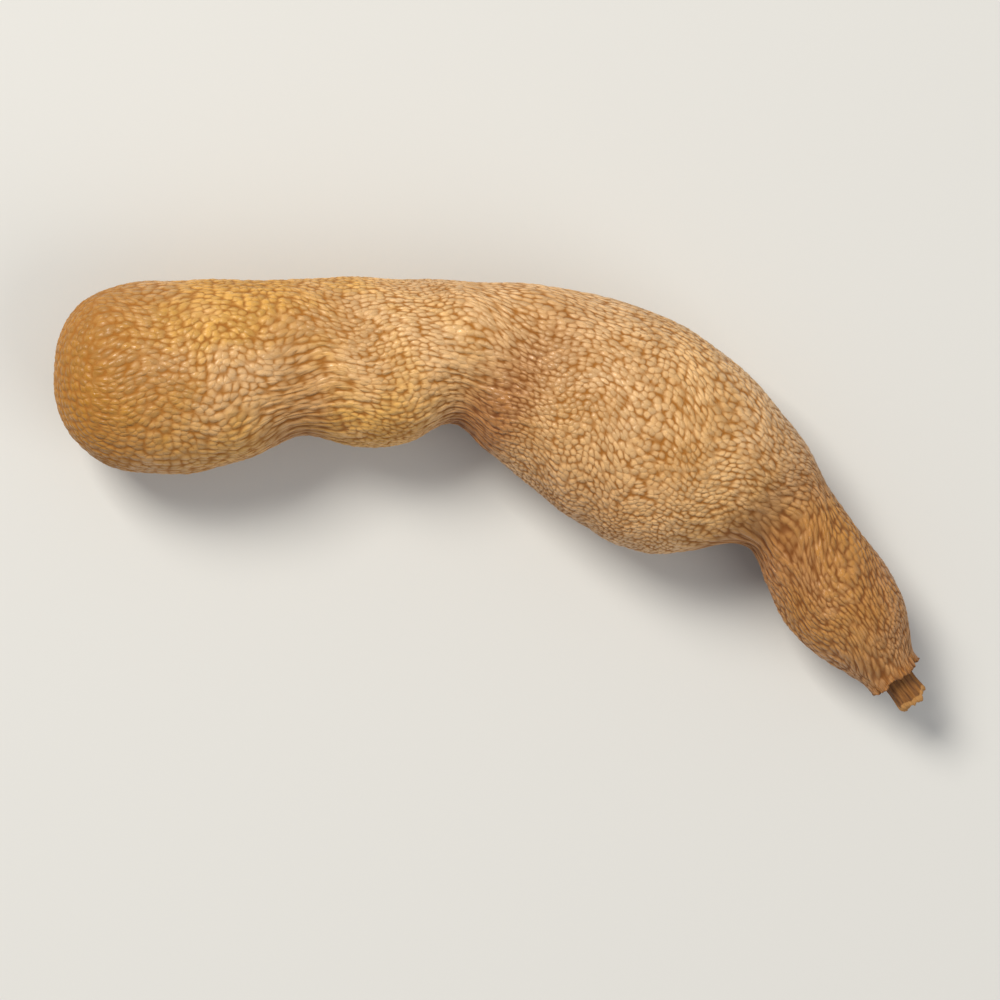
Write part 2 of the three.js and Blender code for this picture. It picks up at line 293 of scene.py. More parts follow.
def waves_round(angle, counts, dice):
    """A ragged closed curve: cosines with the given numbers of waves, random phases, and heights
    that fall as one over the square root of the count. It runs from about -1 to 1."""
    phases = dice.uniform(0, FULL_TURN, len(counts))
    heights = 1 / np.sqrt(counts)
    total = sum(h * np.cos(n * angle + p) for h, n, p in zip(heights, counts, phases))
    return total / heights.sum() * WAVE_GAIN


column_angle = np.linspace(0, FULL_TURN, COLUMNS, endpoint=False)
tear = np.clip(waves_round(column_angle, TEAR_WAVES, dice), -1, 1)
tear = TEAR_DEPTH * (0.5 + 0.5 * tear)
for at, half_width, depth in SPLITS:  # angle, half width in radians, depth in mm
    off = np.angle(np.exp(1j * (column_angle - at))) / half_width
    tear = tear + depth * np.maximum(0, 1 - np.abs(off)) ** 1.5
tear_share = smoothstep(row_along, POD_LENGTH - TEAR_STARTS, POD_LENGTH - TEAR_ENDS)
tear_share[SKIN_ROWS + LIP_ROWS:] = np.concatenate([1 - wall_share, np.zeros(FLOOR_ROWS)])
along_grid = row_along[:, None] - tear_share[:, None] * tear[None, :]
flare = waves_round(column_angle, FLARE_WAVES, dice)
inner_rows = np.arange(ROWS) >= SKIN_ROWS
open_grid = np.broadcast_to(row_open[:, None], along_grid.shape).copy()
open_grid *= 1 + FLARE * tear_share[:, None] * flare[None, :] * inner_rows[:, None]
angle_grid = np.broadcast_to(column_angle[None, :], along_grid.shape)
print(f"the lip is torn back by up to {tear.max():.2f} mm")

# %% Where the skin stands in the frame
surface = skin_points(along_grid, angle_grid, open_grid)
start_pole = skin_points(np.array(0.0), np.array(0.0), np.array(0.0))
end_pole = surface[-1].mean(0)
node_low, node_high = (np.array(corner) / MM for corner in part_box("pod"))
shift = (node_low + node_high) / 2 - (surface.min((0, 1)) + surface.max((0, 1))) / 2
shift[2] = 0
surface, start_pole, end_pole = surface + shift, start_pole + shift, end_pole + shift
skin_size = surface.max((0, 1)) - surface.min((0, 1))
print("the skin is moved by", shift.round(2), "mm and measures", skin_size.round(2))

# %% [markdown]
# ## The place that each bead grew on
#
# The beads follow the skin: they are round on the lobes, long and narrow where the shell is drawn
# in at a waist, and they run together towards the stalk. A pattern on Object coordinates would
# cut straight through the pod instead. So the skin is laid out flat, as land is on a map, and
# each point keeps its place on the map as an attribute, counted in beads.
#
# One flat map of a closed form is pulled thin somewhere. So there are three, of the upper face,
# the lower face and the tip, and two masks say where one fades into the next. Both the shape and
# the material read them, which is what keeps the cracks' colour in the cracks.

# %% The size of the beads
BEAD = 0.66
FINER_IN_THE_MIDDLE, FINER_OVER = 0.2, (16, 34)
COARSER_NEAR_STALK, COARSER_OVER = 0.2, (62, 80)
LENGTHENED = 1.4  # length of a bead on a lobe, in widths
MORE_AT_WAISTS, WAIST_REACH = 0.8, 4.0
GIRTH_RADIUS = 9  # radius of the unshrunken skin that the beads grew on
GIRTH_KEPT = 0.62  # 1 keeps as many beads round the waists as round the lobes
BEAD_SLANT, SLANT_OVER = 0.25, (42, 56)  # the rows on the big lobe lean towards its belly


def waist_share(along, width):
    """1 in a waist, falling to 0 along bell curves of that width."""
    return np.clip(sum(bell((along - at) / width) for at in WAISTS), 0, 1)


def bead_width(along):
    """Smaller beads on the second and third lobes, and broad ones towards the stalk."""
    finer = FINER_IN_THE_MIDDLE * smoothstep(along, *FINER_OVER)
    coarser = COARSER_NEAR_STALK * smoothstep(along, *COARSER_OVER)
    return BEAD * (1 - finer + coarser)


print("width of a bead at the waists:", bead_width(np.array(WAISTS)).round(2), "mm")

# %% The maps
# Each wave: its height, its radians for a mm along the pod, its turns round the pod, its start.
WANDER = ((0.6, 0.31, 2, 1.0), (0.35, 0.73, -3, 0.0))  # heights in mm
DRIFT = ((0.6, 0.21, 2, 0.0), (0.25, -0.4, 5, 2.0))  # heights in beads
# A map's third number is the same all over, and keeps its noises unlike those of the others.
SIDE_LEVEL, TIP_LEVEL = 15.0, 40.0
TIP_BEAD = 1.2  # beads at the tip are broader
LOWER_BORDER = (0.55, 0.62)  # minus the sine of the angle where the lower map takes over
TIP_BORDER = (8.0, 9.5)  # distance over the skin where the tip's map ends


def slow_waves(along, angle, waves):
    """The sum of sine waves that run along the pod and round it."""
    return sum(height * np.sin(along * rate + turns * angle + start)
               for height, rate, turns, start in waves)


def side_map(along, angle, rings, middle, side):
    """A flat map of one face of the skin, counted in beads. The first number is the sum of each
    step along the pod over the beads' length there, which is longer on the belly side of the
    waists. The second is the length of skin from the middle column, and where the ring is
    smaller than a full one its beads are narrower. Slow waves make the rows wander. The side is
    1 for the upper face and -1 for the lower."""
    steps = np.linspace(0, POD_LENGTH, 2000)
    plain, drawn = (
        np.concatenate([[0], np.cumsum(np.diff(steps) / bead_width(steps[1:]) / long[1:])])
        for long in (np.full_like(steps, LENGTHENED),
                     LENGTHENED + MORE_AT_WAISTS * waist_share(steps, WAIST_REACH)))
    on_belly = (1 - np.cos(angle)) / 2
    counted = np.interp(along, steps, plain) * (1 - on_belly)
    counted = counted + np.interp(along, steps, drawn) * on_belly
    pieces = np.linalg.norm(np.roll(rings, -1, axis=1) - rings, axis=-1)
    gone = np.cumsum(pieces, axis=1) - pieces
    girth = pieces.sum(1, keepdims=True)
    turned = (gone - gone[:, middle:middle + 1] + girth / 2) % girth - girth / 2
    narrowed = (FULL_TURN * GIRTH_RADIUS / girth) ** GIRTH_KEPT
    leaning = side * BEAD_SLANT * smoothstep(along, *SLANT_OVER) * turned / (BEAD * LENGTHENED)
    lengthwise = counted + slow_waves(along, angle, DRIFT) + leaning
    across = (turned + slow_waves(along, angle, WANDER)) * narrowed / bead_width(along)
    return np.stack([lengthwise, across, np.full_like(counted, SIDE_LEVEL * side)], axis=-1)


def tip_map(angle, from_tip):
    """A flat map of the tip, with its pole in the middle and true distances from it."""
    spread = from_tip / (BEAD * TIP_BEAD)
    level = np.full_like(spread * angle, TIP_LEVEL)
    return np.stack([spread * np.cos(angle), spread * np.sin(angle), level], axis=-1)


from_tip = np.arange(1, ROWS + 1)[:, None] * skin_length / SKIN_ROWS
maps = {
    "upper": side_map(along_grid, angle_grid, surface, COLUMNS // 4, 1),
    "lower": side_map(along_grid, angle_grid, surface, 3 * COLUMNS // 4, -1),
    "tip": tip_map(angle_grid, from_tip),
}
on_lower = smoothstep(-np.sin(angle_grid), *LOWER_BORDER)
on_tip = smoothstep(-from_tip, -TIP_BORDER[1], -TIP_BORDER[0]) * np.ones_like(angle_grid)
# Specks, pores and torn fibres need no rows, so they read a place on an unshrunken round skin.
maps["place"] = np.stack([along_grid, GIRTH_RADIUS * open_grid * np.cos(angle_grid),
                          GIRTH_RADIUS * open_grid * np.sin(angle_grid)], axis=-1) / BEAD
print("beads along the pod:", round(float(maps["upper"][..., 0].max())),
      "and round its third lobe about", round(FULL_TURN * GIRTH_RADIUS / BEAD))

# %% Grids into meshes


def closed_grid(rows, columns):
    """Faces of a grid that is closed round its columns and ends in two poles. Point 0 is the
    first pole, then come the rows, then the last pole. Quads join each row to the next, and a
    fan of triangles joins each pole to its row."""
    near = 1 + np.arange(rows - 1)[:, None] * columns + np.arange(columns)[None, :]
    beside = np.roll(near, -1, axis=1)
    quads = np.stack([near, beside, beside + columns, near + columns], axis=-1).reshape(-1, 4)
    first = 1 + np.arange(columns)
    last = first + (rows - 1) * columns
    end = np.full(columns, 1 + rows * columns)
    starting = np.stack([np.zeros(columns, int), np.roll(first, -1), first], axis=-1)
    ending = np.stack([end, last, np.roll(last, -1)], axis=-1)
    return quads, np.concatenate([starting, ending])


def with_poles(start, grid, end):
    """The grid's rows as one list, with a value before it for the first pole and one after it
    for the last."""
    rows = grid.reshape(-1, grid.shape[-1])
    return np.concatenate([np.atleast_2d(start), rows, np.atleast_2d(end)])


def numbers_with_poles(start, grid, end):
    """The same for a grid that holds one number for each point."""
    return with_poles([start], grid[..., None], [end])[:, 0]


def mesh_from(name, points, *face_sets):
    """A smooth mesh, in metres, from points in mm and arrays of faces that each have one number
    of corners."""
    mesh = bpy.data.meshes.new(name)
    corners = np.concatenate([faces.ravel() for faces in face_sets])
    sizes = np.concatenate([np.full(len(faces), faces.shape[1]) for faces in face_sets])
    mesh.vertices.add(len(points))
    mesh.vertices.foreach_set("co", (points * MM).astype(np.float32).ravel())
    mesh.loops.add(len(corners))
    mesh.loops.foreach_set("vertex_index", corners.astype(np.int32))
    mesh.polygons.add(len(sizes))
    mesh.polygons.foreach_set("loop_start", (np.cumsum(sizes) - sizes).astype(np.int32))
    mesh.update(calc_edges=True)
    mesh.validate()
    mesh.shade_smooth()
    return mesh


def keep(mesh, name, values):
    """Stores one number or one vector for each point, under a name that a material can read."""
    vector = values.ndim == 2
    made = mesh.attributes.new(name, "FLOAT_VECTOR" if vector else "FLOAT", "POINT")
    made.data.foreach_set("vector" if vector else "value", values.astype(np.float32).ravel())


def into_scene(name, data):
    """A new object at the origin, in the scene."""
    made = bpy.data.objects.new(name, data)
    bpy.context.scene.collection.objects.link(made)
    return made


def enclosed(points, quads, triangles):
    """Volume inside a closed mesh: the sum over its triangles of a . (b x c) / 6. Positive means
    facing out."""
    three = np.concatenate([quads[:, [0, 1, 2]], quads[:, [0, 2, 3]], triangles])
    a, b, c = points[three[:, 0]], points[three[:, 1]], points[three[:, 2]]
    return float(np.einsum("ij,ij->i", a, np.cross(b, c)).sum() / 6)


pod_quads, pod_fans = closed_grid(ROWS, COLUMNS)
pod_points = with_poles(start_pole, surface, end_pole)
pod_volume = enclosed(pod_points, pod_quads, pod_fans)
assert pod_volume > 0, "the skin faces inwards"
print(f"the skin encloses {pod_volume / 1000:.2f} cubic cm",
      f"with {2 * len(pod_quads) + len(pod_fans)} triangles")

# %% [markdown]
# ## The net of beads
#
# Each bead is a cell of a cell texture, rounded at its edges. The pattern is needed twice, as a
# height that moves the points and as colour in the material. One function builds its nodes, in
# whichever tree it is given. Here it builds them in a geometry tree, which only measures the
# height at each point. The points are then moved with numpy.

# %% Short ways to add nodes


def add(tree, kind, inputs=(), **settings):
    """Adds a node. Inputs maps a socket's name or number to a value, or to another node's output
    to link."""
    made = tree.nodes.new(kind)
    for name, value in settings.items():
        setattr(made, name, value)
    for name, value in dict(inputs).items():
        if isinstance(value, bpy.types.NodeSocket):
            tree.links.new(value, made.inputs[name])
        else:
            made.inputs[name].default_value = value
    return made


def math_of(tree, operation, *values):
    """The output of one Math node on the given numbers or sockets."""
    return add(tree, "ShaderNodeMath", dict(enumerate(values)), operation=operation).outputs[0]


def vector_of(tree, operation, first, second, socket=1):
    """The output of one Vector Math node on a vector and a second value."""
    inputs = {0: first, socket: second}
    return add(tree, "ShaderNodeVectorMath", inputs, operation=operation).outputs[0]


def step_of(tree, value, low, high, start=0.0, end=1.0):
    """The output of a smooth step of the value, from start at low to end at high."""
    inputs = {"Value": value, "From Min": low, "From Max": high, "To Min": start, "To Max": end}
    made = add(tree, "ShaderNodeMapRange", inputs, interpolation_type="SMOOTHSTEP")
    return made.outputs["Result"]


def mix_of(tree, share, first, second):
    """The output of a Mix node: the first number, and the second in that share."""
    return add(tree, "ShaderNodeMix", {0: share, 2: first, 3: second}).outputs[0]


def noise_of(tree, place, scale, output="Fac", **inputs):
    """One output of a noise."""
    inputs = {"Vector": place, "Scale": scale, **inputs}
    return add(tree, "ShaderNodeTexNoise", inputs).outputs[output]


# %% Nodes of the net
JITTER = 0.5  # how far a noise moves the beads, in beads
UNEVENNESS = 0.76  # 0 sets the beads in a square grid
CROWN_SHARE, EDGE_SHARE = 0.7, 0.3  # what a bead's dome and its border add to its height
CLOSED_BORDER = 0.26  # how much of a border's depth the noise fills
RIDGE_SHRINK = (0.25, 0.95, 1.0)  # stretches a noise along the pod
RIDGE_LEAST, RIDGE_MORE = 0.26, 0.28  # share of the ridges on a lobe, and how much more if drawn
NET_INPUTS = {"upper": "FLOAT_VECTOR", "lower": "FLOAT_VECTOR", "tip": "FLOAT_VECTOR",
              "on_lower": "FLOAT", "on_tip": "FLOAT", "drawn": "FLOAT"}


def cell_of(tree, place, feature, output="Distance", **inputs):
    """One output of a flat cell texture, whose cells are the beads."""
    inputs = {"Vector": place, "Scale": 1.0, "Randomness": UNEVENNESS, **inputs}
    settings = {"feature": feature, "voronoi_dimensions": "2D"}
    return add(tree, "ShaderNodeTexVoronoi", inputs, **settings).outputs[output]


def one_map_nodes(tree, place):
    """The beads' height, their tint and the ridges' height on one map. The place is jittered by a
    noise, so that no row is straight. A bead is high in its middle and low at its border, and a
    noise closes some of the borders. The ridges are a noise stretched along the pod."""
    centred = noise_of(tree, place, 0.7, "Color", Detail=2.0, Roughness=0.5)
    centred = vector_of(tree, "SUBTRACT", centred, (0.5, 0.5, 0.5))
    jitter = vector_of(tree, "SCALE", centred, JITTER, "Scale")
    moved = vector_of(tree, "ADD", place, jitter)
    middle = cell_of(tree, moved, "SMOOTH_F1", Smoothness=0.1)
    border = cell_of(tree, moved, "DISTANCE_TO_EDGE")
    tint = cell_of(tree, moved, "F1", "Color")
    tint = add(tree, "ShaderNodeSeparateXYZ", {0: tint}).outputs[0]
    closed = noise_of(tree, moved, 1.3, Detail=1.0)
    border = math_of(tree, "ADD", border, step_of(tree, closed, 0.42, 0.66, 0.0, CLOSED_BORDER))
    crown = math_of(tree, "MULTIPLY", step_of(tree, middle, 0.68, 0.08), CROWN_SHARE)
    edge = step_of(tree, border, -0.05, 0.34)
    bead = math_of(tree, "MULTIPLY_ADD", edge, EDGE_SHARE, crown)
    long = vector_of(tree, "MULTIPLY", moved, RIDGE_SHRINK)
    ridge = step_of(tree, noise_of(tree, long, 1.0, Detail=1.5), 0.34, 0.66)
    return bead, tint, ridge


def net_nodes(tree, given):
    """The net's height and tint, from the maps and masks named in NET_INPUTS. The masks choose
    between the maps. Where the skin is drawn, the beads run together into wavy ridges."""
    of_maps = [one_map_nodes(tree, given[name]) for name in ("upper", "lower", "tip")]
    chosen = []
    for upper, lower, tip in zip(*of_maps):
        side = mix_of(tree, given["on_lower"], upper, lower)
        chosen.append(mix_of(tree, given["on_tip"], side, tip))
    bead, tint, ridge = chosen
    share = math_of(tree, "MULTIPLY_ADD", given["drawn"], RIDGE_MORE, RIDGE_LEAST)
    return {"Height": mix_of(tree, share, bead, ridge), "Tint": tint}


def measured(mesh, output):
    """Reads one output of the net at each point of a mesh: a geometry tree stores it there, and
    the evaluated mesh gives it back."""
    tree = bpy.data.node_groups.new("measure_net", "GeometryNodeTree")
    for way in ("INPUT", "OUTPUT"):
        tree.interface.new_socket("Geometry", in_out=way, socket_type="NodeSocketGeometry")
    given = {name: add(tree, "GeometryNodeInputNamedAttribute", {"Name": name},
                       data_type=kind).outputs["Attribute"] for name, kind in NET_INPUTS.items()}
    geometry = tree.nodes.new("NodeGroupInput").outputs[0]
    stored = {"Geometry": geometry, "Name": output, "Value": net_nodes(tree, given)[output]}
    stored = add(tree, "GeometryNodeStoreNamedAttribute", stored, data_type="FLOAT",
                 domain="POINT")
    tree.links.new(stored.outputs[0], tree.nodes.new("NodeGroupOutput").inputs[0])
    probe = into_scene("probe", mesh)
    probe.modifiers.new("measure", "NODES").node_group = tree
    evaluated = probe.evaluated_get(bpy.context.evaluated_depsgraph_get()).data
    values = np.zeros(len(evaluated.vertices), np.float32)
    evaluated.attributes[output].data.foreach_get("value", values)
    bpy.data.objects.remove(probe)
    bpy.data.node_groups.remove(tree)
    return values


# %% Keep the maps with the points
DRAWN_REACH, DRAWN_SLANT = 5.0, 2
DRAWN_OVER = (0.1, 0.75)  # from the back, 0, to the belly, 1

pod_mesh = mesh_from("pod_skin", pod_points, pod_quads, pod_fans)
for name, grid in maps.items():
    keep(pod_mesh, name, with_poles(grid[0].mean(0), grid, grid[-1].mean(0)))
keep(pod_mesh, "on_lower", numbers_with_poles(0.0, on_lower, 0.0))
keep(pod_mesh, "on_tip", numbers_with_poles(1.0, on_tip, 1.0))
flat_along = numbers_with_poles(0.0, along_grid, POD_LENGTH)
across = np.cos(numbers_with_poles(0.0, angle_grid, 0.0))  # 1 on the back, -1 on the belly
belly = (1 - across) / 2
drawn = waist_share(flat_along - DRAWN_SLANT * (1 + across), DRAWN_REACH)
keep(pod_mesh, "drawn", drawn * smoothstep(belly, *DRAWN_OVER))
print("attributes that the net reads:", list(NET_INPUTS))

# %% Raise the beads
NET_DEPTH = 0.16
TORN_OVER = (1.6, 0.2)  # distances from the collar's edge over which the skin turns to torn wood
TORN_OUTSIDE = 0.6


def normals_of(mesh):
    """The direction that the skin faces at each point."""
    found = np.zeros(len(mesh.vertices) * 3, np.float32)
    mesh.vertex_normals.foreach_get("vector", found)
    return found.reshape(-1, 3)


bead_height = measured(pod_mesh, "Height")
torn_outside = smoothstep(along_grid, POD_LENGTH - TORN_OVER[0], POD_LENGTH - TORN_OVER[1])
torn = np.maximum(inner_rows[:, None], torn_outside * TORN_OUTSIDE)
torn = numbers_with_poles(0.0, torn, 1.0)
sunk = NET_DEPTH * (bead_height - 1) * (1 - torn)
pod_points = pod_points + normals_of(pod_mesh) * sunk[:, None]
pod_points[:, 2] = np.maximum(pod_points[:, 2], 0)
pod_mesh.vertices.foreach_set("co", (pod_points * MM).astype(np.float32).ravel())
pod_mesh.update()
print(f"beads measured {bead_height.min():.2f} to {bead_height.max():.2f} high,",
      f"and the cracks are cut {-sunk.min():.2f} mm deep")

# %% [markdown]
# ## Where the shell changes colour
#
# The shell is browner in the waists, along its belly and towards the stalk, partly in its own
# colour and partly as painted shade. It is golden at the tip and in a few spots, and the tip's
# gold is partly painted shade too. It is rosy on the middle lobes. A painted picture of this could
# not be changed by a number. So each is a mask, one number from 0 to 1 for each point, worked out
# from the distance along the pod and the reach across it.

# %% Masks for the material
# Each band, partly the shell's own brown and partly painted shade: place, width, slant towards the
# stalk, strength, and how fast it fades from the belly to the back.
BROWN_AND_SHADE_BANDS = ((23.5, 3.2, 1, 0.8, 3.0), (40.5, 3.4, 4, 1.3, 0.8), (55, 10, 0, 0.5, 2.5),
               (75.0, 5.0, 0, 0.4, 0.6))
# The stalk end is browner, partly in its own colour and partly as a painted shadow.
BROWN_AND_SHADOW_AT_STALK, BROWN_OVER = 0.8, (66, 82)
# The gold at the tip is partly its own tone and partly painted shade where the tip curves away.
GOLD_AND_SHADE_AT_TIP, GOLDEN_HINT, HINT_OVER = 10, 0.12, (15, 36)
ROSY_COMES, ROSY_GOES = (28, 42), (64, 80)
# Each spot: place, reach across from -1 at the belly to 1 at the back, size, and strength.
GOLDEN_SPOTS = ((4.5, -0.75, 4.0, 0.6), (10.2, -0.1, 2.8, 1.0), (22.5, 0.5, 4.0, 0.9),
                (28.5, 0.35, 2.6, 0.7), (15.0, -0.7, 3.0, 0.4), (33.0, -0.6, 3.0, 0.3),
                (63.0, -0.2, 3.0, 0.5), (50.0, -0.1, 2.4, 0.5))

# Brown of the shell's own, and painted shade at the notches, on the third lobe's belly and at the
# stalk.
brown_and_shade = sum(share * bell((flat_along - at - slant * (1 + across)) / width) * belly**fade
            for at, width, slant, share, fade in BROWN_AND_SHADE_BANDS)
brown_and_shade = brown_and_shade + BROWN_AND_SHADOW_AT_STALK * smoothstep(flat_along, *BROWN_OVER)
# Gold at the tip, which is partly painted shade, and a hint of gold on the first lobes.
gold_and_tip_shade = bell(flat_along / GOLD_AND_SHADE_AT_TIP)
gold_and_tip_shade = gold_and_tip_shade + GOLDEN_HINT * (1 - smoothstep(flat_along, *HINT_OVER))
spots = sum(share * np.exp(-(((flat_along - at) ** 2
                              + (GIRTH_RADIUS * (across - reach)) ** 2) / size**2))
            for at, reach, size, share in GOLDEN_SPOTS)
rosy = smoothstep(flat_along, *ROSY_COMES) * (1 - smoothstep(flat_along, *ROSY_GOES))
masks = {"torn": torn, "brown_and_shade": brown_and_shade, "gold_and_tip_shade": gold_and_tip_shade, "spots": spots, "rosy": rosy}
for name, values in masks.items():
    keep(pod_mesh, name, np.clip(values, 0, 1))
print("means of the masks:", {name: round(float(np.mean(m)), 2) for name, m in masks.items()})

# %% The pod's object
pod = into_scene("pod_skin", pod_mesh)
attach(pod, "root")
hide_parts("pod")
print("the pod's object has", len(pod_mesh.vertices), "points")

# %% [markdown]
# ## The stub of the stalk
#
# The stub is the stalk's last few millimetres: a bundle of fibres that snapped when the pod was
# picked. Turning a profile round its axis gives the round form, and the fibres are grooves that
# run along it. They are worked out from the angle, so they line up from the socket to the break.
# The break is ragged, because each fibre ended where it would, and the soft pith in the middle
# has dried to a hole.

# %% The stub's profile
STUB_RADIUS = 1.65
STUB_GAP = 0.35  # from the socket's floor to the stub's foot
STUB_LENGTH = 4.9
# Heights over the foot, and shares of the radius there.
STUB_OUTLINE = ((0, 1), (1.2, 0.98), (2.2, 0.95), (3.1, 0.93), (3.9, 0.96), (4.6, 1), (4.75, 0.97))
PITH_RADIUS = 0.6
PITH_DEPTH = 1.5
PITH_LIP, PITH_WALL = 0.2, 1.2  # where the hollow's wall starts under the break, and its height
STUB_COLUMNS = 180
FOOT_ROWS, SIDE_ROWS, RIM_ROWS, PITH_ROWS, PITH_FLOOR_ROWS = 7, 89, 15, 15, 5

stub_angle = np.linspace(0, FULL_TURN, STUB_COLUMNS, endpoint=False)
top_height = STUB_LENGTH - 0.05
foot_share = np.linspace(0, 1, FOOT_ROWS + 1)[1:]
side_height = np.linspace(0, STUB_OUTLINE[-1][0], SIDE_ROWS + 1)[1:]
side_radius = STUB_RADIUS * np.interp(side_height, *zip(*STUB_OUTLINE))
rim_share = np.linspace(0, 1, RIM_ROWS + 1)[1:]
rim_radius = side_radius[-1] + (PITH_RADIUS - side_radius[-1]) * rim_share
pith_share = np.linspace(0, 1, PITH_ROWS + 1)[1:]
pith_floor_share = np.linspace(1, 0, PITH_FLOOR_ROWS + 2)[1:-1]
stub_heights = np.concatenate([
    np.zeros(FOOT_ROWS), side_height, np.full(RIM_ROWS, top_height),
    top_height - PITH_LIP - PITH_WALL * pith_share,
    np.full(PITH_FLOOR_ROWS, top_height - PITH_DEPTH)])
stub_radii = np.concatenate([
    STUB_RADIUS * foot_share, side_radius, rim_radius,
    np.full(PITH_ROWS, PITH_RADIUS), PITH_RADIUS * pith_floor_share])
print(f"the stub's grid has {len(stub_radii)} rows of {STUB_COLUMNS}")

# %% Grooves and the ragged break
GROOVE_WAVES, GROOVE_DEPTH = (9, 14, 22, 35, 47), 0.045
UNROUND_WAVES, UNROUND = (2, 3, 5), 0.03
FIBRE_WAVES, FIBRE_ENDS = (4, 7, 12, 19, 31, 50, 71), 0.12
BREAK_WAVES = ((1, 0.3, 2.2), (4, 0.12, 0), (7, 0.07, 1))  # the solid's own break
BREAK_STARTS, BREAK_LOWERED = 3.2, 0.1
SPLINTER_HEIGHT = 0.22
SPLINTER_WAVES = (3.1, 4.7, 7.3, 10.9, 15.1)  # in radians for a mm
SOLID_WOOD_FROM = 1.2  # radius past which the wood is whole

grooves = waves_round(stub_angle, GROOVE_WAVES, dice)
unround = waves_round(stub_angle, UNROUND_WAVES, dice)
fibre_ends = waves_round(stub_angle, FIBRE_WAVES, dice)
solid_break = sum(high * np.cos(count * stub_angle - start) for count, high, start in BREAK_WAVES)
groove_rows = (smoothstep(stub_radii, PITH_RADIUS, SOLID_WOOD_FROM)
               * smoothstep(stub_heights, 0.3, 1.5))
uneven = (GROOVE_DEPTH * grooves + UNROUND * unround)[None, :]
stub_r = stub_radii[:, None] * (1 + groove_rows[:, None] * uneven)
break_rows = (smoothstep(stub_heights, BREAK_STARTS, top_height - 0.1)
              * (stub_radii > PITH_RADIUS * 0.98))[:, None]
crown = smoothstep(stub_radii, PITH_RADIUS * 0.8, SOLID_WOOD_FROM)[:, None]
stub_h = stub_heights[:, None] + break_rows * (solid_break + (FIBRE_ENDS * crown * fibre_ends))
stub_h = stub_h - BREAK_LOWERED * break_rows
stub_x, stub_y = stub_r * np.cos(stub_angle), stub_r * np.sin(stub_angle)
splinters = np.zeros_like(stub_r)
for count in SPLINTER_WAVES:
    facing, start = dice.uniform(0, FULL_TURN, 2)
    way = stub_x * np.cos(facing) + stub_y * np.sin(facing)
    splinters += np.abs(np.sin(count * way + start)) / math.sqrt(count)
on_break = (stub_heights[:, None] == top_height) * (stub_r > PITH_RADIUS * 0.9)
stub_h = stub_h + SPLINTER_HEIGHT * (splinters - splinters.mean()) * on_break
print(f"the break is {stub_h[on_break].min():.2f} to {stub_h[on_break].max():.2f} mm high")

# %% Stand the stub in the socket
heading, _, _, _, rise = station_curve(np.array(POD_LENGTH))
stalk_out = np.array([math.cos(math.radians(heading)), math.sin(math.radians(heading)), 0.0])
stalk_side = np.array([-stalk_out[1], stalk_out[0], 0.0])
stalk_up = np.array([0.0, 0.0, 1.0])
mouth_x, mouth_y = (np.interp(POD_LENGTH, backbone_at, line) for line in (backbone_x, backbone_y))
mouth = np.array([mouth_x, mouth_y, float(rise)]) + shift


def in_socket(radius, angle, height):
    """A point at that radius and angle round the stalk's axis, that high over the stub's foot, in
    the frame."""
    out = height - SOCKET_DEPTH + STUB_GAP
    spokes = np.cos(angle)[..., None] * stalk_side + np.sin(angle)[..., None] * stalk_up
    return mouth + out[..., None] * stalk_out + radius[..., None] * spokes


stub_surface = in_socket(stub_r, np.broadcast_to(stub_angle, stub_r.shape), stub_h)
stub_start = in_socket(np.array(0.0), np.array(0.0), np.array(0.0))
stub_end = stub_surface[-1].mean(0)
stub_quads, stub_fans = closed_grid(*stub_r.shape)
stub_points = with_poles(stub_start, stub_surface, stub_end)
print(f"the stub encloses {enclosed(stub_points, stub_quads, stub_fans):.1f} cubic mm")

# %% The stub's mesh and object
GRAIN_ACROSS = 1.6
BROKEN_FROM = 4.3  # height over the foot

stub_mesh = mesh_from("stalk_stub_wood", stub_points, stub_quads, stub_fans)
stub_grid = np.stack([stub_h, GRAIN_ACROSS * np.cos(stub_angle) * stub_r,
                      GRAIN_ACROSS * np.sin(stub_angle) * stub_r], axis=-1)
keep(stub_mesh, "grain", with_poles([0, 0, 0], stub_grid, stub_grid[-1].mean(0)))
broken = (stub_heights[:, None] > BROKEN_FROM) * np.ones_like(stub_h)
keep(stub_mesh, "broken", numbers_with_poles(0.0, broken, 1.0))
stub = into_scene("stalk_stub_wood", stub_mesh)
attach(stub, "root")
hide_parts("stalk_stub")
print("the stub's box in mm:", stub_points.min(0).round(2), stub_points.max(0).round(2))

# %% [markdown]
# ## Effects as node groups
#
# Three effects are used more than once: the net of beads, soft patches of another colour, and
# fibres along a stretched noise. Each is a node group that puts out only masks and heights. The
# shaders stay in the materials.

# %% The groups
VECTOR, NUMBER = "NodeSocketVector", "NodeSocketFloat"


def group_of(name, inputs, outputs):
    """An empty shader group with those sockets, and its input and output nodes' sockets."""
    tree = bpy.data.node_groups.new(name, "ShaderNodeTree")
    for socket, (kind, value) in inputs.items():
        made = tree.interface.new_socket(socket, in_out="INPUT", socket_type=kind)
        if value is not None:
            made.default_value = value
    for socket in outputs:
        tree.interface.new_socket(socket, in_out="OUTPUT", socket_type=NUMBER)
    given, wanted = tree.nodes.new("NodeGroupInput"), tree.nodes.new("NodeGroupOutput")
    return tree, given.outputs, wanted.inputs


net_sockets = {name: (VECTOR if kind == "FLOAT_VECTOR" else NUMBER, None)
               for name, kind in NET_INPUTS.items()}
net_group, given, wanted = group_of("bead_net", net_sockets, ["Height", "Tint"])
for name, socket in net_nodes(net_group, given).items():
    net_group.links.new(socket, wanted[name])

patch_inputs = {"Place": (VECTOR, None), "Scale": (NUMBER, 1.0), "From": (NUMBER, 0.45),
                "To": (NUMBER, 0.6)}
patch_group, given, wanted = group_of("soft_patches", patch_inputs, ["Mask"])
cloud = noise_of(patch_group, given["Place"], given["Scale"],
                 Detail=5.0, Roughness=0.6, Distortion=0.4)
patch_group.links.new(step_of(patch_group, cloud, given["From"], given["To"]), wanted["Mask"])

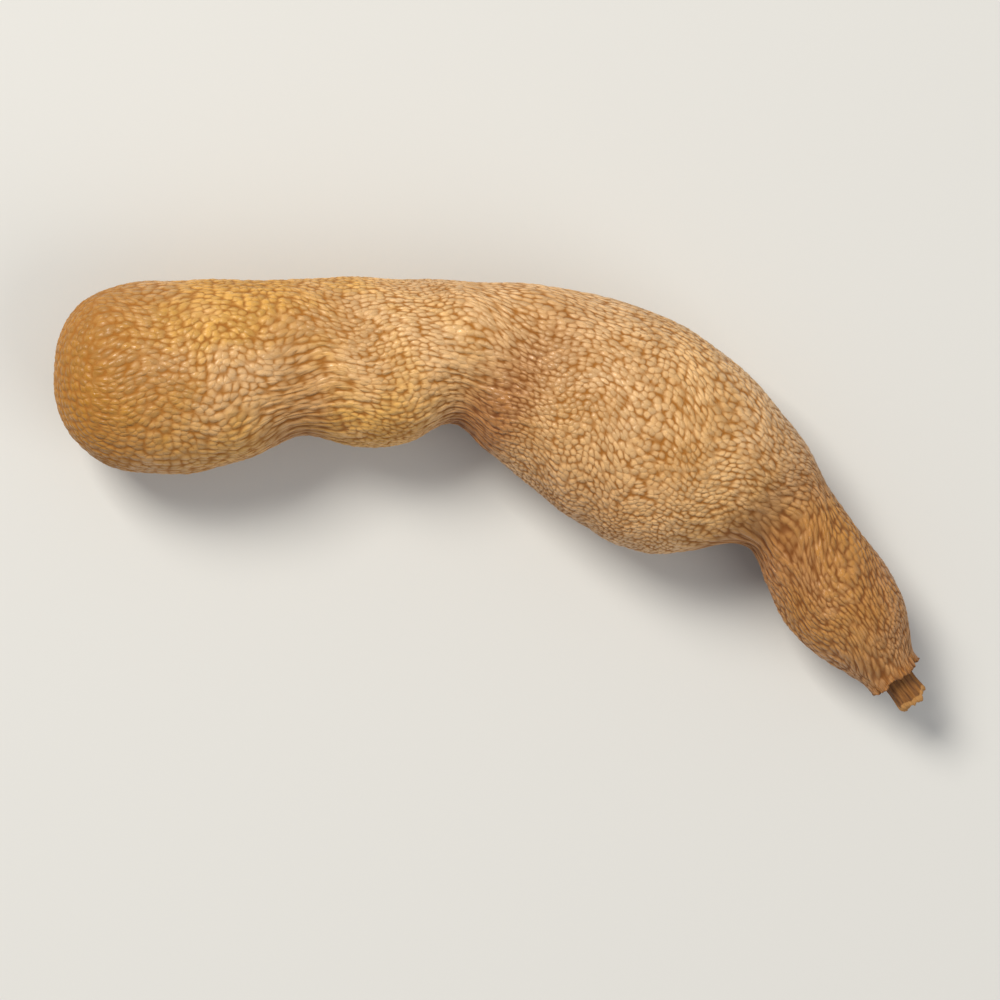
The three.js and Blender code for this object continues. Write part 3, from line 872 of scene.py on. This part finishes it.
fibre_inputs = {"Place": (VECTOR, None), "Fineness": (NUMBER, 3.0)}
fibre_group, given, wanted = group_of("fibres", fibre_inputs, ["Height", "Streak"])
lengthwise = vector_of(fibre_group, "MULTIPLY", given["Place"], (0.14, 1.0, 1.0))
strands = noise_of(fibre_group, lengthwise, given["Fineness"], Detail=6.0, Roughness=0.65)
streaks = noise_of(fibre_group, lengthwise, 1.3, Detail=3.0)
fibre_group.links.new(step_of(fibre_group, strands, 0.3, 0.7), wanted["Height"])
fibre_group.links.new(step_of(fibre_group, streaks, 0.4, 0.62), wanted["Streak"])
print("groups:", net_group.name, patch_group.name, fibre_group.name)

# %% Helpers for the materials


def colour(red, green, blue):
    """A colour read off a screen, from 0 to 255, as the light values that a shader needs."""
    shares = np.array([red, green, blue]) / 255
    light = np.where(shares <= 0.04045, shares / 12.92, ((shares + 0.055) / 1.055) ** 2.4)
    return (*(float(value) for value in light), 1.0)


def blended(tree, share, under, over, blend="MIX"):
    """The colour under, covered by the colour over in that share."""
    inputs = {0: share, 6: under, 7: over}
    return add(tree, "ShaderNodeMix", inputs, data_type="RGBA", blend_type=blend).outputs[2]


def covered(tree, under, mask, share, over):
    """The colour under, covered where the mask is, by the colour over in that share."""
    return blended(tree, math_of(tree, "MULTIPLY", mask, share), under, over)


def use_group(tree, group, **inputs):
    """Places a node group, with its own values, and returns its outputs."""
    return add(tree, "ShaderNodeGroup", inputs, node_tree=group).outputs


def patches(tree, place, scale, low, high):
    """The mask of soft patches of that scale, where their noise rises from low to high."""
    return use_group(tree, patch_group, Place=place, Scale=scale, From=low, To=high)["Mask"]


def kept(tree, name, output="Fac"):
    """An attribute of the mesh, as a number or as a vector."""
    return add(tree, "ShaderNodeAttribute", attribute_name=name).outputs[output]


def new_material(name):
    """An empty material, its tree and its Principled shader, already linked to the output."""
    material = bpy.data.materials.new(name)
    material.use_nodes = True
    tree = material.node_tree
    tree.nodes.clear()
    shader = add(tree, "ShaderNodeBsdfPrincipled")
    output = tree.nodes.new("ShaderNodeOutputMaterial")
    tree.links.new(shader.outputs["BSDF"], output.inputs["Surface"])
    return material, tree, shader


# %% [markdown]
# ## The skin's finish
#
# The beads are pale tan, and between them is the brown of the shell beneath, which is darkest in
# the waists, partly from dirt and partly as painted shade. From each crack up to its bead's crown
# the colour also runs from dark to pale as painted shade on the bead's flanks. A photograph could
# be laid over the model for all this, but its light and shade would come with it. So each colour
# is mixed in by a mask: the net's own height, soft patches, and the masks that were kept with the
# points.

# %% The skin's colours
SAND = colour(227, 174, 89)
ROSY_SAND = colour(223, 181, 130)
GOLD = colour(166, 112, 31)
# The shell's own brown, also used as painted shade in the waists, on the belly and at the stalk.
RIDGE_BROWN_AND_SHADE = colour(156, 97, 37)
# Crack brown, also laid down each bead's flanks as painted shade.
CRACK_AND_FLANK_SHADE = colour(158, 100, 32)
# Cracks in the waists, darker from dirt and from painted shade.
DEEP_CRACK_AND_SHADE = colour(112, 62, 18)
STAIN = colour(160, 104, 50)
SPECK = colour(86, 50, 24)
TORN = colour(204, 136, 62)
TORN_DARK = colour(122, 70, 28)

skin, tree, shader = new_material("tamarind_skin")
place = kept(tree, "place", "Vector")
where = add(tree, "ShaderNodeTexCoord").outputs["Object"]
net = use_group(tree, net_group, **{
    name: kept(tree, name, "Vector" if kind == "FLOAT_VECTOR" else "Fac")
    for name, kind in NET_INPUTS.items()})
wide = patches(tree, where, 75.0, 0.4, 0.62)
small = patches(tree, where, 260.0, 0.42, 0.66)
blotches = patches(tree, where, 120.0, 0.46, 0.66)
stains = patches(tree, where, 150.0, 0.6, 0.74)
specks = patches(tree, place, 0.55, 0.7, 0.76)
torn_fibres = use_group(tree, fibre_group, Place=place, Fineness=2.2)

bead = blended(tree, wide, SAND, ROSY_SAND)
bead = covered(tree, bead, kept(tree, "rosy"), 0.8, ROSY_SAND)
bead = covered(tree, bead, small, 0.36, GOLD)
cloudy = step_of(tree, blotches, 0.0, 1.0, 0.5, 1.0)
bead = covered(tree, bead, kept(tree, "spots"), cloudy, GOLD)
# The tip's gold is partly painted shade.
bead = covered(tree, bead, kept(tree, "gold_and_tip_shade"), 0.95, GOLD)
# Brown of the waists, the belly and the stalk end: partly the shell's own, partly painted shade.
bead = covered(tree, bead, kept(tree, "brown_and_shade"), 0.85, RIDGE_BROWN_AND_SHADE)
bead = covered(tree, bead, stains, 0.25, STAIN)
paler = step_of(tree, net["Tint"], 0.0, 1.0, 0.86, 1.08)
paler = add(tree, "ShaderNodeCombineColor", {0: paler, 1: paler, 2: paler}).outputs[0]
bead = blended(tree, 1.0, bead, paler, "MULTIPLY")
# The cracks grow darker in the waists, from dirt and from painted shade.
crack_and_flank_shade = blended(tree, kept(tree, "brown_and_shade"), CRACK_AND_FLANK_SHADE, DEEP_CRACK_AND_SHADE)
# From crack to crown: the brown shell beneath, and painted shade down each bead's flanks.
shell = blended(tree, step_of(tree, net["Height"], 0.02, 0.74), crack_and_flank_shade, bead)
shell = covered(tree, shell, specks, 0.45, SPECK)
wood = blended(tree, torn_fibres["Streak"], TORN, TORN_DARK)
coloured = blended(tree, kept(tree, "torn"), shell, wood)
tree.links.new(coloured, shader.inputs["Base Color"])
print("the skin's colours take", len(tree.nodes), "nodes")

# %% The skin's gloss and fine relief
ROUGH_CRACK, ROUGH_CROWN = 1.0, 0.32
ROUGHER_PATCHES = 0.08
GLOSSIER_BEADS = 0.14  # only a quarter of the beads are so
PORE_HEIGHT = 0.22  # in beads' heights
SKIN_BUMP = 0.14

rough = step_of(tree, net["Height"], 0.0, 0.95, ROUGH_CRACK, ROUGH_CROWN)
rough = math_of(tree, "MULTIPLY_ADD", small, ROUGHER_PATCHES, rough)
glossier = step_of(tree, net["Tint"], 0.75, 1.0, 0.0, GLOSSIER_BEADS)
rough = math_of(tree, "SUBTRACT", rough, glossier)
rough = math_of(tree, "MAXIMUM", rough, kept(tree, "torn"))
tree.links.new(rough, shader.inputs["Roughness"])
pores = noise_of(tree, place, 4.5, Detail=3.0)
relief = math_of(tree, "MULTIPLY_ADD", pores, PORE_HEIGHT, net["Height"])
relief = mix_of(tree, kept(tree, "torn"), relief, torn_fibres["Height"])
bump = add(tree, "ShaderNodeBump",
           {"Height": relief, "Strength": 1.0, "Distance": SKIN_BUMP * MM})
tree.links.new(bump.outputs["Normal"], shader.inputs["Normal"])
shader.inputs["Specular IOR Level"].default_value = 0.44
shader.inputs["Sheen Weight"].default_value = 0.04
shader.inputs["Sheen Roughness"].default_value = 0.5
pod_mesh.materials.append(skin)
print("the skin's material has", len(tree.nodes), "nodes")

# %% [markdown]
# ## The stub's finish
#
# Dry stalk is orange-brown outside, straw-coloured where the fibres broke, and nearly black in
# the pith. It could be one plain brown, but at this size the eye looks for the fibres. So the
# same group of fibres that colours the torn collar runs along it.

# %% Stalk material
BARK = colour(150, 98, 38)
BARK_DARK = colour(84, 46, 16)
OLD_BARK = colour(112, 66, 26)
STRAW = colour(196, 146, 84)
FIBRE_TOPS = colour(178, 122, 58)
STALK_BUMP = 0.07

stalk, tree, shader = new_material("dry_stalk")
grain = kept(tree, "grain", "Vector")
fibres = use_group(tree, fibre_group, Place=grain, Fineness=3.2)
wood = blended(tree, fibres["Streak"], BARK, BARK_DARK)
wood = covered(tree, wood, patches(tree, grain, 0.9, 0.42, 0.62), 0.5, OLD_BARK)
wood = covered(tree, wood, kept(tree, "broken"), 0.7, STRAW)
wood = covered(tree, wood, fibres["Height"], 0.35, FIBRE_TOPS)
tree.links.new(wood, shader.inputs["Base Color"])
rough = step_of(tree, fibres["Height"], 0.0, 1.0, 0.9, 0.62)
tree.links.new(rough, shader.inputs["Roughness"])
bump = add(tree, "ShaderNodeBump",
           {"Height": fibres["Height"], "Strength": 0.8, "Distance": STALK_BUMP * MM})
tree.links.new(bump.outputs["Normal"], shader.inputs["Normal"])
stub_mesh.materials.append(stalk)
print("the stalk's material has", len(tree.nodes), "nodes")

# %% [markdown]
# ## The studio
#
# The photograph looks almost straight down on the pod, a little from the left and from above. Its
# light is broad and comes from the top left. A plain pale floor, a large soft lamp for that light
# and a weak one opposite it do the same.

# %% Floor and light
FLOOR_CORNERS = [(-2, -2, 0), (2, -2, 0), (2, 2, 0), (-2, 2, 0)]  # in metres, as all here
FLOOR_DROP = 0.00005  # below the pod's flat underside

floor_mesh = bpy.data.meshes.new("floor")
floor_mesh.from_pydata(FLOOR_CORNERS, [], [(0, 1, 2, 3)])
floor = into_scene("floor", floor_mesh)
floor.location.z = -FLOOR_DROP
paper, tree, shader = new_material("pale_floor")
shader.inputs["Base Color"].default_value = colour(212, 212, 210)
shader.inputs["Roughness"].default_value = 0.85
floor_mesh.materials.append(paper)

world = bpy.data.worlds.new("studio")
world.use_nodes = True
background = world.node_tree.nodes["Background"]
background.inputs["Color"].default_value = colour(236, 238, 242)
background.inputs["Strength"].default_value = 0.36
bpy.context.scene.world = world


def soft_lamp(name, place, size, power, tint):
    """A square lamp at a place in metres, facing the pod."""
    light = bpy.data.lights.new(name, "AREA")
    light.size = size
    light.energy = power
    light.color = tint[:3]
    lamp = into_scene(name, light)
    lamp.location = place
    lamp.rotation_euler = (-Vector(place)).to_track_quat("-Z", "Y").to_euler()


soft_lamp("key", (-0.44, 0.44, 0.7), 0.34, 8.5, colour(255, 250, 240))
soft_lamp("fill", (0.5, -0.35, 0.6), 0.6, 2.2, colour(255, 250, 242))
bpy.context.scene.view_settings.view_transform = "Standard"
print("lamps:", [lamp.name for lamp in bpy.data.lights])

# %% Camera
CAMERA_DISTANCE = 0.35
FROM_LEFT = 7.5  # in degrees
FROM_TOP = 2.5
VIEW_WIDTH = 0.097
SENSOR_WIDTH = 36  # in mm

aim = (cad_low + cad_high) / 2
back = Vector((-math.sin(math.radians(FROM_LEFT)), math.sin(math.radians(FROM_TOP)), 1.0))
back = back.normalized()
right = Vector((0, 1, 0)).cross(back).normalized()
camera_data = bpy.data.cameras.new("camera")
camera_data.sensor_width = SENSOR_WIDTH
camera_data.lens = SENSOR_WIDTH * CAMERA_DISTANCE / VIEW_WIDTH
camera = into_scene("camera", camera_data)
turned = Matrix((right, back.cross(right), back)).transposed()
camera.matrix_world = Matrix.Translation(aim + back * CAMERA_DISTANCE) @ turned.to_4x4()
bpy.context.scene.camera = camera
print(f"the camera is {CAMERA_DISTANCE} m away with a {camera_data.lens:.0f} mm lens")
